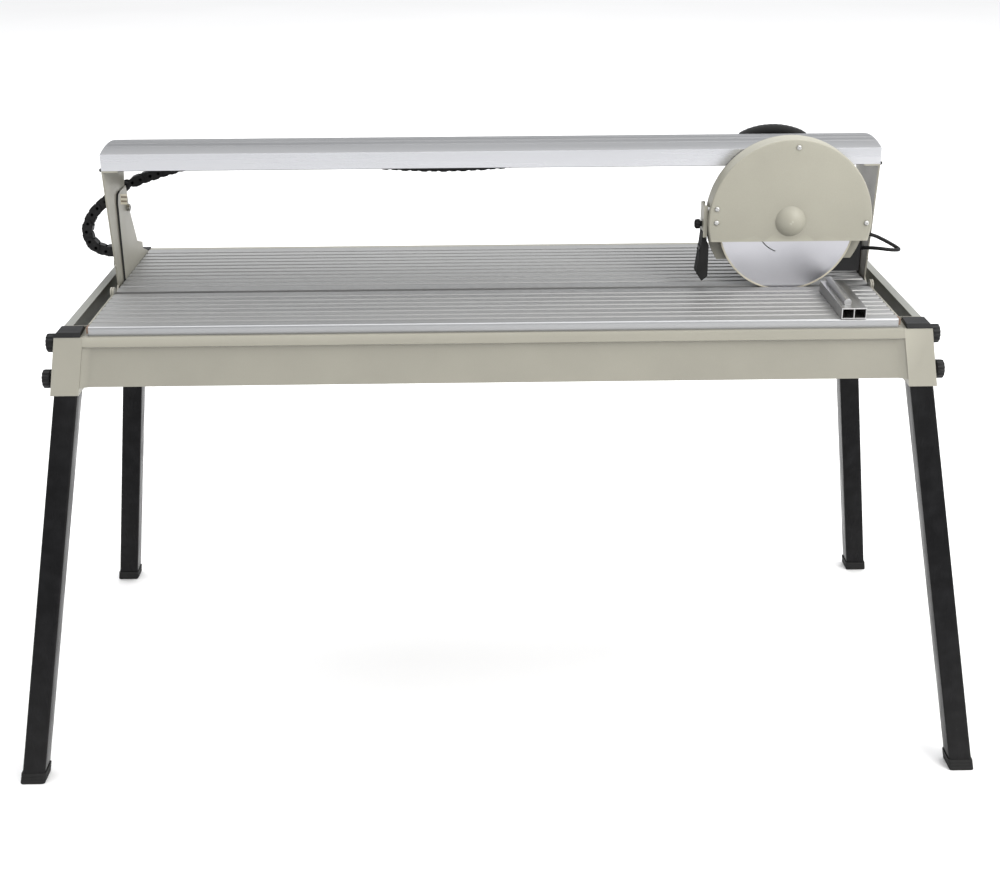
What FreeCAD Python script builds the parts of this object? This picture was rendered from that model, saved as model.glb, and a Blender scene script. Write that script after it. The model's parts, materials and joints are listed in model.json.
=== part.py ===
import FreeCAD, Part
import math
import os

# Bridge saw for wet tile cutting, in millimetres.
# Origin: on the floor under the middle of the four feet. +X along the table, +Y to the back, +Z up.

# Table and frame
TABLE_TOP = 842.4
TABLE_HALF_X = 707.5
TABLE_FRONT_Y = -302.4
TABLE_REAR_Y = 238.2
TABLE_THICK = 9.0
TABLE_LIP = 16.0
RIB_PITCH = 25.0
RIB_GROOVE = 9.0
RIB_DEPTH = 2.2
SLOT_Y = -87.4
SLOT_WIDTH = 14.0
FRAME_HALF_X = 766.4
FRAME_HALF_Y = 310.1
FRAME_TOP = 826.4
FRAME_BOTTOM = 731.6
BAND_HEIGHT = 18.0
PANEL_RECESS = 9.0
RAIL_FLANGE = 16.0
SHEET = 2.0

# Legs and their sockets
LEG = 42.0
LEG_WALL = 2.0
LEG_TOP = 812.0
POST_BOTTOM = 718.7
POST_WIDTH = 50.0
POST_DEPTH = 72.0
POST_LEAN = 18.6
FOOT_OUT_X = 888.0
FOOT_OUT_Y = 438.8
FOOT_SIZE = 46.0
FOOT_HEIGHT = 21.0
FOOT_FLOOR = 4.0
KNOB_R = 17.0
KNOB_THICK = 15.0
KNOB_HEIGHTS = (805.0, 742.0)

# Tilting bridge: every length in this group is measured from the slot and the table top
PIVOT_R = 6.0
CLAMP_Y = 165.0
CLAMP_Z = 124.6
ARM_PLATE = 3.0
PLATE_INNER_X = 708.0
RAIL_HALF_X = 714.6
RAIL_FRONT = 17.8
RAIL_DEPTH = 150.0
RAIL_LOW = 225.1
RAIL_FACE = 30.0
RAIL_CROWN = 8.5
RAIL_WALL = 3.0
WEB_Y = 86.0
LIP_FRONT = (17.8, 36.0)
LIP_MID = (70.0, 89.0)
LIP_REAR = (148.0, 167.8)

# Cutting head, at the parked end of the rail
HEAD_X = 545.4
AXIS_Z = 961.6
BLADE_R = 127.0
BLADE_THICK = 2.0
GUARD_R = 150.0
GUARD_Z = 973.0
GUARD_FLAT_Z = 935.5
GUARD_FRONT = -29.0
GUARD_BACK = 13.5
GUARD_SHEET = 3.0
MOTOR_R = 52.0
ROLLER_R = 9.0
AXLE_R = 4.0
FIT = 0.05

os.makedirs("parts", exist_ok=True)

X = FreeCAD.Vector(1, 0, 0)
Y = FreeCAD.Vector(0, 1, 0)
Z = FreeCAD.Vector(0, 0, 1)


def vec(x, y, z):
    return FreeCAD.Vector(x, y, z)


def slot(y):
    """Row-frame Y of a place measured backwards from the blade slot."""
    return SLOT_Y + y


def save(node, *solids):
    shape = solids[0] if len(solids) == 1 else Part.makeCompound(list(solids))
    shape.exportStep("parts/" + node + ".step")


def box(low, high):
    return Part.makeBox(high[0] - low[0], high[1] - low[1], high[2] - low[2], vec(*low))


def rod(radius, start, direction, length):
    return Part.makeCylinder(radius, length, start, direction)


def tube(outer, inner, start, direction, length):
    return rod(outer, start, direction, length).cut(rod(inner, start, direction, length))


def polygon(points):
    return Part.Face(Part.makePolygon(points + [points[0]]))


def side_plate(outline, x_low, thickness):
    """Plate across X from (y from the slot, height above the table top) corners."""
    points = [vec(x_low, slot(y), TABLE_TOP + z) for y, z in outline]
    return polygon(points).extrude(X * thickness)


def long_section(outline, half_x):
    """Extrusion along X of a closed (y, z) section."""
    points = [vec(-half_x, y, z) for y, z in outline]
    return polygon(points).extrude(X * (2 * half_x))


def mirrored(shape):
    return shape.mirror(vec(0, 0, 0), X)


def rounded(shape, radius, test):
    """Fillet the edges whose middle passes the test."""
    edges = [e for e in shape.Edges if test(e.valueAt((e.FirstParameter + e.LastParameter) / 2))]
    return shape.makeFillet(radius, edges)


def fluted_knob(centre, direction, radius, thick, flutes):
    """Hand knob with a ring of finger grooves; centre is the middle of its inner face."""
    body = rod(radius, centre, direction, thick)
    body = body.fuse(rod(radius * 0.55, centre - direction * 3, direction, 3))
    across = Z if abs(direction.z) < 0.5 else Y
    for i in range(flutes):
        turn = FreeCAD.Rotation(direction, 360.0 * i / flutes)
        side = turn.multVec(across * (radius + 1.2))
        body = body.cut(rod(3.0, centre + side - direction, direction, thick + 2))
    return body


# ---------------------------------------------------------------- frame

def apron():
    """Front apron: folded sheet with a proud top band and a recessed panel."""
    y0 = -FRAME_HALF_Y
    top, low = FRAME_TOP, FRAME_BOTTOM
    step = top - BAND_HEIGHT
    t, r = SHEET, PANEL_RECESS
    outline = [(y0, top), (y0, step), (y0 + r, step - 4), (y0 + r, low), (y0 + r + 20, low),
               (y0 + r + 20, low + t), (y0 + r + t, low + t), (y0 + r + t, step - 2),
               (y0 + t, step + t), (y0 + t, top - t), (y0 + 26, top - t), (y0 + 26, top)]
    front = long_section(outline, FRAME_HALF_X)
    cheek = apron_cheek()
    front = front.fuse([cheek, mirrored(cheek)])
    column = corner_box(0, FRAME_BOTTOM - 20, FRAME_TOP + 1)
    outside = column.fuse(box((FRAME_HALF_X - 10, y0 - 1, low - 20), (FRAME_HALF_X + 40, y0 + 60, top + 1)))
    return front.cut(outside).cut(mirrored(outside)).removeSplitter()


def apron_cheek():
    """Slanted fold that closes the recess of the panel beside the right-hand column."""
    def ring(z):
        x = post_side_x(z) - POST_WIDTH
        y = -FRAME_HALF_Y
        return Part.makePolygon([vec(x - 16, y + PANEL_RECESS, z), vec(x + 1, y + 1.5, z),
                                 vec(x + 1, y + PANEL_RECESS + SHEET, z),
                                 vec(x - 16, y + PANEL_RECESS + SHEET, z),
                                 vec(x - 16, y + PANEL_RECESS, z)])
    return Part.makeLoft([ring(FRAME_BOTTOM), ring(FRAME_TOP - BAND_HEIGHT - 2)], True, True)


def side_rail():
    """Left side rail: a channel that opens inwards."""
    x0, t = -FRAME_HALF_X, SHEET
    top, low = FRAME_TOP, FRAME_BOTTOM
    outline = [(x0, top), (x0, low), (x0 + 20, low), (x0 + 20, low + t), (x0 + t, low + t),
               (x0 + t, top - t), (x0 + RAIL_FLANGE, top - t), (x0 + RAIL_FLANGE, top)]
    reach = FRAME_HALF_Y - POST_DEPTH
    points = [vec(x, -reach, z) for x, z in outline]
    return polygon(points).extrude(Y * (2 * reach))


def corner_box(wall, low, high):
    """Right-hand front corner column, leaning out to the side with the leg."""
    def ring(z):
        x1 = post_side_x(z) - wall
        x0 = post_side_x(z) - POST_WIDTH + wall
        y0, y1 = -FRAME_HALF_Y + wall, -FRAME_HALF_Y + POST_DEPTH - wall
        return Part.makePolygon([vec(x0, y0, z), vec(x1, y0, z), vec(x1, y1, z), vec(x0, y1, z),
                                 vec(x0, y0, z)])
    return Part.makeLoft([ring(low), ring(high)], True, True)


def leg_line():
    """Axis of the right-hand front leg: its foot point and its run per millimetre of height."""
    half = LEG / 2 + 0.3
    top_x = FRAME_HALF_X + POST_LEAN - SHEET - 3 - half
    top_y = -FRAME_HALF_Y + SHEET + 0.5 + half
    foot = vec(FOOT_OUT_X - half, -FOOT_OUT_Y + half, 0)
    rise = vec(top_x - foot.x, top_y - foot.y, POST_BOTTOM)
    return foot, rise * (1.0 / POST_BOTTOM)


def leaning_bar(size, low, high):
    """Square bar along the leg's axis between two heights, with level ends."""
    foot, run = leg_line()
    centre = foot + run * low
    h = size / 2
    face = polygon([centre + vec(-h, -h, 0), centre + vec(h, -h, 0), centre + vec(h, h, 0),
                    centre + vec(-h, h, 0)])
    return face.extrude(run * (high - low))


def leg_and_foot():
    tube_low = FOOT_FLOOR
    leg = leaning_bar(LEG, tube_low, LEG_TOP)
    leg = leg.cut(leaning_bar(LEG - 2 * LEG_WALL, tube_low - 1, LEG_TOP + 1))
    foot = leaning_bar(FOOT_SIZE, 0, FOOT_HEIGHT).cut(leaning_bar(LEG, tube_low, FOOT_HEIGHT + 1))
    return leg, foot


def post_side_x(z):
    return FRAME_HALF_X + POST_LEAN * (FRAME_TOP - z) / (FRAME_TOP - POST_BOTTOM)


def leg_stud_holes(z, radius):
    """Cutter for the clamp screw of one leg, through the post wall and the leg's outer wall."""
    foot, run = leg_line()
    y = (foot + run * z).y
    return rod(radius, vec(post_side_x(z) - 14, y, z), X, 30)


def leg_knob(z):
    foot, run = leg_line()
    y = (foot + run * z).y
    start = post_side_x(z) + 5
    knob = fluted_knob(vec(start, y, z), X, KNOB_R, KNOB_THICK, 12)
    knob = knob.fuse(rod(3.95, vec(post_side_x(z) - 10, y, z), X, 15.5))
    return knob


def corner_cap():
    """Black moulded cover on top of a column and the end of its side rail."""
    x0, x1 = FRAME_HALF_X - POST_WIDTH - 8, FRAME_HALF_X + 1
    y0, y1 = -FRAME_HALF_Y - 1, -FRAME_HALF_Y + 50
    low, high, bevel = FRAME_TOP, FRAME_TOP + 8, 5

    def ring(z, inset):
        return Part.makePolygon([vec(x0 + 12, y0 + inset, z), vec(x1 - inset, y0 + inset, z),
                                 vec(x1 - inset, y1 - inset, z), vec(x0 + 15, y1 - inset, z),
                                 vec(x0 + 12, y0 + inset, z)])
    skirt = Part.makeLoft([ring(low, 0), ring(low + 2, 0)], True, True)
    crown = Part.makeLoft([ring(low + 2, 0), ring(high, bevel)], True, True)
    return skirt.fuse(crown)


def four_corners(shape):
    """Copies of a right-hand front corner piece, named by corner."""
    rear = shape.mirror(vec(0, 0, 0), Y)
    return {"front_right": shape, "front_left": mirrored(shape),
            "rear_right": rear, "rear_left": mirrored(rear)}


def build_frame():
    front = apron()
    save("front_apron", front)
    save("rear_apron", front.mirror(vec(0, 0, 0), Y))
    rail = side_rail()
    save("side_rail_left", rail)
    save("side_rail_right", mirrored(rail))

    post = corner_box(0, POST_BOTTOM, FRAME_TOP)
    post = post.cut(corner_box(SHEET, POST_BOTTOM - 1, FRAME_TOP - SHEET))
    for z in KNOB_HEIGHTS:
        post = post.cut(leg_stud_holes(z, 4.0))
    post = post.cut(box((FRAME_HALF_X - POST_WIDTH + SHEET, -FRAME_HALF_Y + 52, FRAME_TOP - SHEET - 1),
                        (FRAME_HALF_X - RAIL_FLANGE, -FRAME_HALF_Y + POST_DEPTH - SHEET, FRAME_TOP + 1)))
    save("corner_posts", *four_corners(post).values())
    caps = four_corners(corner_cap())
    low_box = box((-900, 0, FRAME_TOP), (900, 400, FRAME_TOP + 3))
    save("corner_caps", caps["front_right"], caps["front_left"],
         caps["rear_right"].common(low_box), caps["rear_left"].common(low_box))

    leg, foot = leg_and_foot()
    for z in KNOB_HEIGHTS:
        leg = leg.cut(leg_stud_holes(z, 4.0))
    for corner, solid in four_corners(leg).items():
        save("leg_" + corner, solid)
    save("rubber_feet", *four_corners(foot).values())
    for level, z in zip(("upper", "lower"), KNOB_HEIGHTS):
        for corner, solid in four_corners(leg_knob(z)).items():
            save("leg_knob_" + level + "_" + corner, solid)


# ---------------------------------------------------------------- table and tray

def ribbed_panel(front, rear, lip_at_front):
    """Table panel along X: grooved top, flat underside and a deep rounded lip on its outer edge."""
    top, low = TABLE_TOP, TABLE_TOP - TABLE_THICK
    top_points = [(front, top)]
    count = int((rear - front - 30) // RIB_PITCH)
    first = front + (rear - front - count * RIB_PITCH) / 2 + RIB_PITCH / 2
    for i in range(count):
        middle = first + i * RIB_PITCH
        a, b = middle - RIB_GROOVE / 2, middle + RIB_GROOVE / 2
        top_points += [(a, top), (a + 1, top - RIB_DEPTH), (b - 1, top - RIB_DEPTH), (b, top)]
    top_points.append((rear, top))
    lip = TABLE_TOP - TABLE_LIP
    if lip_at_front:
        under = [(rear, low), (front + 10, low), (front + 10, lip), (front, lip)]
    else:
        under = [(rear, lip), (rear - 10, lip), (rear - 10, low), (front, low)]
    panel = long_section(top_points + under, TABLE_HALF_X)
    outer = front if lip_at_front else rear
    return rounded(panel, 4.0, lambda p: abs(p.y - outer) < 0.1 and abs(p.z - top) < 0.1
                   and abs(p.x) < 1)


def cross_bar(x):
    """Channel under the table from the front apron to the back one."""
    bar = box((x - 13, -FRAME_HALF_Y + 27, 800), (x + 13, FRAME_HALF_Y - 27, FRAME_TOP - SHEET))
    inner = box((x - 11, -FRAME_HALF_Y + 20, 799), (x + 11, FRAME_HALF_Y - 20, FRAME_TOP - 4))
    return bar.cut(inner)


def tray_outline(inset):
    """Tray plan with its corners cut back around the legs."""
    hx, hy, cut_x, cut_y = 734 - inset, 284 - inset, 60, 74
    quarter = [(hx, hy - cut_y), (hx - cut_x, hy - cut_y), (hx - cut_x, hy)]
    plan = quarter + [(-x, y) for x, y in reversed(quarter)]
    return plan + [(-x, -y) for x, y in quarter] + [(x, -y) for x, y in reversed(quarter)]


DRAIN = vec(-640, 150, 0)
TRAY_LOW, TRAY_TOP = 740.0, 798.0


def water_tray():
    outer = polygon([vec(x, y, TRAY_LOW) for x, y in tray_outline(0)]).extrude(Z * (TRAY_TOP - TRAY_LOW))
    inner = polygon([vec(x, y, TRAY_LOW + 3) for x, y in tray_outline(3)]).extrude(Z * TRAY_TOP)
    return outer.cut(inner).cut(rod(12, vec(DRAIN.x, DRAIN.y, TRAY_LOW - 1), Z, 6))


def pump():
    """Submersible water pump: ribbed square body with an outlet spigot."""
    x, y, z = -560, 150, TRAY_LOW + 3
    body = box((x - 32, y - 26, z), (x + 32, y + 26, z + 44))
    body = body.cut(box((x - 33, y - 20, z + 6), (x - 29, y + 20, z + 30)))
    return body.fuse(tube(7, 4.5, vec(x + 12, y, z + 43), Z, 9))


def build_table():
    half = SLOT_WIDTH / 2
    save("table_front", ribbed_panel(TABLE_FRONT_Y, SLOT_Y - half, True))
    save("table_rear", ribbed_panel(SLOT_Y + half, TABLE_REAR_Y, False))
    save("table_cross_bars", *[cross_bar(x) for x in (-694, -350, 0, 350, 694)])
    save("water_tray", water_tray())
    plug = rod(11.93, vec(DRAIN.x, DRAIN.y, TRAY_LOW - 5), Z, 9)
    save("drain_plug", plug.fuse(rod(16, vec(DRAIN.x, DRAIN.y, TRAY_LOW - 5.3), Z, 5)))
    save("water_pump", pump())


def build_angle_guide():
    """Hollow bar across the front panel with a hooked foot on the front lip and a clamp ridge."""
    x0, front, rear = 606.0, TABLE_FRONT_Y - 1, slot(-38)
    base, high = TABLE_TOP + 0.4, TABLE_TOP + 20
    bar = box((x0, front, base), (x0 + 44, rear, high))
    ridge = rod(6.5, vec(x0 + 15, front + 22, high + 4), Y, rear - front - 30)
    bar = bar.fuse(ridge)
    for a, b in ((2, 21), (23, 42)):
        bar = bar.cut(box((x0 + a, front - 1, base + 2), (x0 + b, rear + 1, high - 2)))
    save("angle_guide", bar)



# ---------------------------------------------------------------- tilting bridge

CLAMP_R = math.hypot(CLAMP_Y, CLAMP_Z)
CLAMP_ANGLE = math.degrees(math.atan2(CLAMP_Z, CLAMP_Y))
TILT = 45.0
ARM_X = PLATE_INNER_X + ARM_PLATE + 0.6
CHAIN_Y = 212.0


def at_slot(x, y, z):
    """Point given by Y from the slot and height above the table top."""
    return vec(x, slot(y), TABLE_TOP + z)


def angle_plate():
    """Right-hand fixed plate: gusset with the tilt scale, its pivot lug reaching to the slot."""
    outline = [(95, 10), (95, 150), (103, 163), (120, 166), (172, 166), (184, 115.6), (225, 43.6),
               (268, 30.6), (268, 17.6), (313, 0.6), (313, -36.4), (-196, -36.4), (-196, -0.4), (-11, -0.4),
               (-11, 0), (11, 0),
               (24, -12), (88, -12), (95, -4)]
    plate = side_plate(outline, PLATE_INNER_X, ARM_PLATE)
    plate = plate.fuse(rod(11, at_slot(PLATE_INNER_X, 0, 0), X, ARM_PLATE))
    plate = plate.cut(rod(PIVOT_R, at_slot(PLATE_INNER_X - 1, 0, 0), X, ARM_PLATE + 2))
    return plate.cut(rod(4.0 + FIT, at_slot(PLATE_INNER_X - 1, CLAMP_Y, CLAMP_Z), X, ARM_PLATE + 2))


def sector(radius, first, last, x_low, thickness):
    """Slice of a disc about the tilt axis, between two angles above the horizontal."""
    def on_rim(angle):
        a = math.radians(angle)
        return at_slot(x_low, radius * math.cos(a), radius * math.sin(a))
    middle = at_slot(x_low, 0, 0)
    rim = Part.Arc(on_rim(first), on_rim((first + last) / 2), on_rim(last)).toShape()
    sides = [Part.makeLine(middle, on_rim(first)), Part.makeLine(on_rim(last), middle)]
    return Part.Face(Part.Wire([sides[0], rim, sides[1]])).extrude(X * thickness)


def clamp_arc(x_low, thickness):
    """Curved slot that the clamp stud runs in while the bridge tilts."""
    first, last = CLAMP_ANGLE - TILT - 0.3, CLAMP_ANGLE + 0.3
    half = 4.5
    arc = sector(CLAMP_R + half, first, last, x_low, thickness)
    arc = arc.cut(sector(CLAMP_R - half, first - 5, last + 5, x_low, thickness))
    for angle in (first, last):
        a = math.radians(angle)
        arc = arc.fuse(rod(half, at_slot(x_low, CLAMP_R * math.cos(a), CLAMP_R * math.sin(a)), X,
                           thickness))
    return arc


def tilt_arm():
    """Right-hand arm: flat side plate with a top flange and the clamp quadrant."""
    top = RAIL_LOW
    front_top, front_low = (18, top), (54, 1)
    body = side_plate([front_top, (183, top), (183, 192), (171, 157), (160, 112), (100, 1), front_low],
                      ARM_X, ARM_PLATE)
    hook = side_plate([(0, 10.5), (-3, -10.5), (40, -30), (86, -26), (98, 1), (98, 4), (54, 4), (54, 1),
                       (36, -10)], ARM_X, ARM_PLATE)
    quadrant = sector(217.5, -13, 42, ARM_X, ARM_PLATE)
    quadrant = quadrant.cut(sector(60, -14, 43, ARM_X, ARM_PLATE))
    quadrant = quadrant.cut(sector(190, -6, 22, ARM_X, ARM_PLATE).cut(sector(120, -7, 23, ARM_X, ARM_PLATE)))
    outer = ARM_X + ARM_PLATE
    shelf = box((outer - 30, slot(18), TABLE_TOP + top - 3), (outer, slot(165), TABLE_TOP + top))
    hub = rod(11, at_slot(ARM_X, 0, 0), X, ARM_PLATE)
    arm = body.fuse([hook, quadrant, shelf, hub]).removeSplitter()
    arm = arm.cut(clamp_arc(ARM_X - 1, ARM_PLATE + 2))
    return arm.cut(rod(PIVOT_R + FIT, at_slot(ARM_X - 1, 0, 0), X, ARM_PLATE + 2))


def pivot_pin():
    start = at_slot(PLATE_INNER_X, 0, 0)
    return rod(PIVOT_R, start, X, 7.2)


def clamp_nut():
    centre = at_slot(PLATE_INNER_X - 6.5, CLAMP_Y, CLAMP_Z)
    corners = [centre + vec(0, 7.5 * math.cos(math.radians(60 * i)), 7.5 * math.sin(math.radians(60 * i)))
               for i in range(6)]
    return polygon(corners).extrude(X * 6.5).cut(rod(4.0 + FIT, centre - X, X, 9))


def tilt_knob():
    start = at_slot(PLATE_INNER_X - 5, CLAMP_Y, CLAMP_Z)
    face = at_slot(ARM_X + ARM_PLATE + 4.5, CLAMP_Y, CLAMP_Z)
    return fluted_knob(face, X, 16, 13, 10).fuse(rod(4.0, start, X, face.x - start.x + 1))


def crown(drop):
    """Closed section of the rail's outside, lowered by the given amount."""
    low, face = TABLE_TOP + RAIL_LOW, TABLE_TOP + RAIL_LOW + RAIL_FACE - drop
    x0 = -RAIL_HALF_X
    front, rear = slot(RAIL_FRONT), slot(RAIL_FRONT + RAIL_DEPTH)
    points = [vec(x0, rear, face), vec(x0, rear, low), vec(x0, front, low), vec(x0, front, face)]
    arch = Part.Arc(points[3], vec(x0, (front + rear) / 2, face + RAIL_CROWN), points[0]).toShape()
    sides = [Part.makeLine(a, b) for a, b in zip(points[:-1], points[1:])]
    return Part.Face(Part.Wire(sides + [arch])).extrude(X * (2 * RAIL_HALF_X))


def bridge_rail():
    """Aluminium extrusion: arched top with grooves, two channels open downwards between lips."""
    low = TABLE_TOP + RAIL_LOW
    far = RAIL_HALF_X + 1
    rear_inner = RAIL_FRONT + RAIL_DEPTH - RAIL_WALL
    hollow = crown(RAIL_WALL)
    front_bay = hollow.common(box((-far, slot(RAIL_FRONT + RAIL_WALL), low + RAIL_WALL),
                                  (far, slot(WEB_Y), low + 60)))
    rear_bay = hollow.common(box((-far, slot(WEB_Y + RAIL_WALL), low + RAIL_WALL),
                                 (far, slot(rear_inner), low + 60)))
    rail = crown(0).cut(front_bay).cut(rear_bay)
    for a, b in ((LIP_FRONT[1], LIP_MID[0]), (LIP_MID[1], LIP_REAR[0])):
        rail = rail.cut(box((-far, slot(a), low - 1), (far, slot(b), low + RAIL_WALL + 1)))
    half_span = RAIL_DEPTH / 2
    for y in (40, 62, 68, 92, 98, 124, 130):
        from_middle = y - half_span
        z = low + RAIL_FACE + RAIL_CROWN * (1 - (from_middle / half_span) ** 2)
        rail = rail.cut(rod(1.3, vec(-far, slot(RAIL_FRONT + y), z + 0.4), X, 2 * far))
    return rail


def chain(points, pitch, length):
    """Drag chain: hollow-looking links at an even pitch along straight runs, on one spine."""
    solids = []
    walked = 0.0
    for a, b in zip(points[:-1], points[1:]):
        start, end = vec(a[0], slot(CHAIN_Y), a[1]), vec(b[0], slot(CHAIN_Y), b[1])
        along = (end - start).normalize()
        turn = FreeCAD.Rotation(X, along)
        run = (end - start).Length
        spine = Part.makeBox(run + 4, 14, 9, vec(-2, -7, -4.5))
        spine.Placement = FreeCAD.Placement(start, turn)
        solids.append(spine)
        while walked < run:
            link = Part.makeBox(length, 22, 21, vec(-length / 2, -11, -10.5))
            link.Placement = FreeCAD.Placement(start + along * walked, turn)
            solids.append(link)
            walked += pitch
        walked -= run
    return solids[0].fuse(solids[1:]).removeSplitter()


CHAIN_LOOP = [(-716, 1002), (-740, 985), (-762, 968), (-780, 953), (-794, 934), (-802, 911),
              (-797, 888), (-778, 872), (-755, 870), (-743, 870)]
CHAIN_RUN = [(472, 1049), (174, 1050), (47, 1040), (-22, 1035), (-100, 1033), (-179, 1036),
             (-257, 1043), (-373, 1053), (-529, 1053), (-604, 1038), (-666, 1020), (-694, 1010)]


def build_bridge():
    plate = angle_plate()
    arm = tilt_arm()
    pin = pivot_pin()
    nut = clamp_nut()
    knob = tilt_knob()
    save("angle_plate_right", plate)
    save("angle_plate_left", mirrored(plate))
    save("tilt_arm_right", arm)
    save("tilt_arm_left", mirrored(arm))
    save("pivot_pins", pin, mirrored(pin))
    save("clamp_nuts", nut, mirrored(nut))
    save("tilt_knob_right", knob)
    save("tilt_knob_left", mirrored(knob))
    save("bridge_rail", bridge_rail())
    save("drag_chain_run", chain(CHAIN_RUN, 24, 20))
    end = box((-738.5, slot(168), 862), (-733.5, slot(CHAIN_Y + 4), 878))
    end = end.fuse(box((-733.5, slot(168), 862), (-ARM_X - ARM_PLATE, slot(184), 878)))
    save("drag_chain_loop", chain(CHAIN_LOOP, 22, 16).fuse(end).removeSplitter())


# ---------------------------------------------------------------- cutting head

def head(y, z=AXIS_Z, x=0.0):
    """Point measured from the blade's centre line in X, from the slot in Y, and from the floor."""
    return vec(HEAD_X + x, slot(y), z)


def disc(radius, y0, y1, z=AXIS_Z, x=0.0):
    return rod(radius, head(y0, z, x), Y, y1 - y0)


def head_box(low, high):
    """Box with X from the head's middle and Y from the slot."""
    return box((HEAD_X + low[0], slot(low[1]), low[2]), (HEAD_X + high[0], slot(high[1]), high[2]))


def hexagon(flats, y0, y1):
    r = flats / 2 / math.cos(math.radians(30))
    corners = [head(y0) + vec(r * math.cos(math.radians(60 * i)), 0, r * math.sin(math.radians(60 * i)))
               for i in range(6)]
    return polygon(corners).extrude(Y * (y1 - y0))


SHAFT_R = 8.0
BORE_R = 12.7
WHEEL_Z = TABLE_TOP + RAIL_LOW + RAIL_WALL + ROLLER_R + 0.3
WHEEL_X = (-48.0, 48.0)


def build_spindle():
    blade = disc(BLADE_R, -BLADE_THICK / 2, BLADE_THICK / 2).cut(disc(BORE_R, -2, 2))
    save("blade", blade)
    inner = disc(30, 1, 5).fuse(disc(BORE_R, -1, 1)).cut(disc(SHAFT_R, -2, 6))
    outer = disc(30, -5, -1).cut(disc(SHAFT_R, -6, 0))
    save("blade_flanges", inner, outer)
    save("arbor_nut", hexagon(24, -15, -5).cut(disc(SHAFT_R, -16, -4)))
    save("motor_rotor", disc(SHAFT_R, -17, 186).fuse(disc(30, 55, 150)))


def build_motor():
    shell = disc(MOTOR_R, GUARD_BACK + GUARD_SHEET, 172).cut(disc(MOTOR_R - 4, 46, 173))
    shell = shell.cut(disc(20, 31, 46)).cut(disc(12, 0, 32))
    for i in range(24):
        a = math.radians(15 * i)
        if abs(math.sin(a)) < 0.8:
            fin = rod(1.6, head(60, AXIS_Z + MOTOR_R * math.sin(a), MOTOR_R * math.cos(a)), Y, 100)
            shell = shell.cut(fin)
    save("motor_housing", shell)
    save("motor_stator", disc(MOTOR_R - 4, 60, 145).cut(disc(31, 59, 146)))
    cover = disc(MOTOR_R, 172, 200)
    cover = rounded(cover, 10, lambda p: abs(p.y - slot(200)) < 0.1)
    cover = cover.cut(disc(MOTOR_R - 4, 171, 176)).cut(disc(20, 175, 188))
    save("motor_cover", cover)
    front = disc(20, 33, 45).cut(disc(SHAFT_R + FIT, 32, 46))
    rear = disc(20, 176, 187.5).cut(disc(SHAFT_R + FIT, 175, 188))
    save("motor_bearings", front, rear)


def build_guard():
    back = disc(GUARD_R, GUARD_BACK, GUARD_BACK + GUARD_SHEET, GUARD_Z)
    back = back.cut(disc(22, GUARD_BACK - 1, GUARD_BACK + GUARD_SHEET + 1))
    back = back.cut(head_box((-200, 0, 700), (200, 40, 892)))
    save("guard_back", back)

    shell = disc(GUARD_R, GUARD_FRONT, GUARD_BACK, GUARD_Z)
    shell = shell.cut(disc(GUARD_R - 2, GUARD_FRONT + 2, GUARD_BACK + 1, GUARD_Z))
    shell = shell.cut(head_box((-200, GUARD_FRONT - 1, 700), (200, GUARD_BACK + 1, GUARD_FLAT_Z)))
    rim, rise = 29.0, 13.0
    ball = (rim ** 2 + rise ** 2) / (2 * rise)
    centre = head(GUARD_FRONT - rise + ball, 971)
    slab = head_box((-40, GUARD_FRONT - 20, GUARD_FLAT_Z), (40, GUARD_FRONT, 1010))
    inner_slab = head_box((-40, GUARD_FRONT - 20, GUARD_FLAT_Z), (40, GUARD_FRONT + 2.1, 1010))
    shell = shell.fuse(Part.makeSphere(ball, centre).common(slab))
    shell = shell.cut(Part.makeSphere(ball - 2, centre).common(inner_slab)).removeSplitter()
    save("guard_front", shell)

    places = ((7, 1108), (-135.5, 996.6), (-135.8, 971.3), (139.9, 968.5))
    screws = [rounded(disc(4.6, GUARD_FRONT - 3, GUARD_FRONT, z, x), 2.0,
                      lambda p: abs(p.y - slot(GUARD_FRONT - 3)) < 0.1) for x, z in places]
    save("guard_screws", *screws)


def wheelset(x):
    """One axle with a roller on the front lip and one on the middle lip."""
    axle = disc(AXLE_R, 22, 84, WHEEL_Z, x)
    return axle.fuse([disc(ROLLER_R, 24, 34, WHEEL_Z, x), disc(ROLLER_R, 72.5, 82.5, WHEEL_Z, x)])


def build_carriage():
    uprights = [head_box((-60, a, 1030), (60, b, 1089)) for a, b in ((40, 44), (62, 66))]
    base = head_box((-60, 38, 1030), (60, 68, 1035))
    saddle = head_box((-40, 38, 1000), (40, 68, 1030)).cut(disc(MOTOR_R, 37, 69))
    carriage = base.fuse(uprights + [saddle]).removeSplitter()
    for x in WHEEL_X:
        carriage = carriage.cut(disc(AXLE_R + FIT, 38, 68, WHEEL_Z, x))
    save("carriage_frame", carriage)
    for side, x in zip(("left", "right"), WHEEL_X):
        save("roller_set_" + side, wheelset(x))

    arch = [head(174, 1097, -64), head(174, 1113, 0), head(174, 1097, 64)]
    outline = [Part.Arc(*arch).toShape()]
    corners = [arch[2], head(174, 1084, 70), head(174, 1003, 49), head(174, 1003, -49),
               head(174, 1084, -70), arch[0]]
    outline += [Part.makeLine(a, b) for a, b in zip(corners[:-1], corners[1:])]
    loop = Part.Face(Part.Wire(outline)).extrude(Y * 24)
    inner = [head(173, 1078, -50), head(173, 1091, 0), head(173, 1078, 50)]
    hole = [Part.Arc(*inner).toShape()]
    corners = [inner[2], head(173, 1030, 38), head(173, 1030, -38), inner[0]]
    hole += [Part.makeLine(a, b) for a, b in zip(corners[:-1], corners[1:])]
    loop = loop.cut(Part.Face(Part.Wire(hole)).extrude(Y * 26))
    save("carriage_handle", loop.cut(disc(MOTOR_R, 171, 202)))


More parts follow.
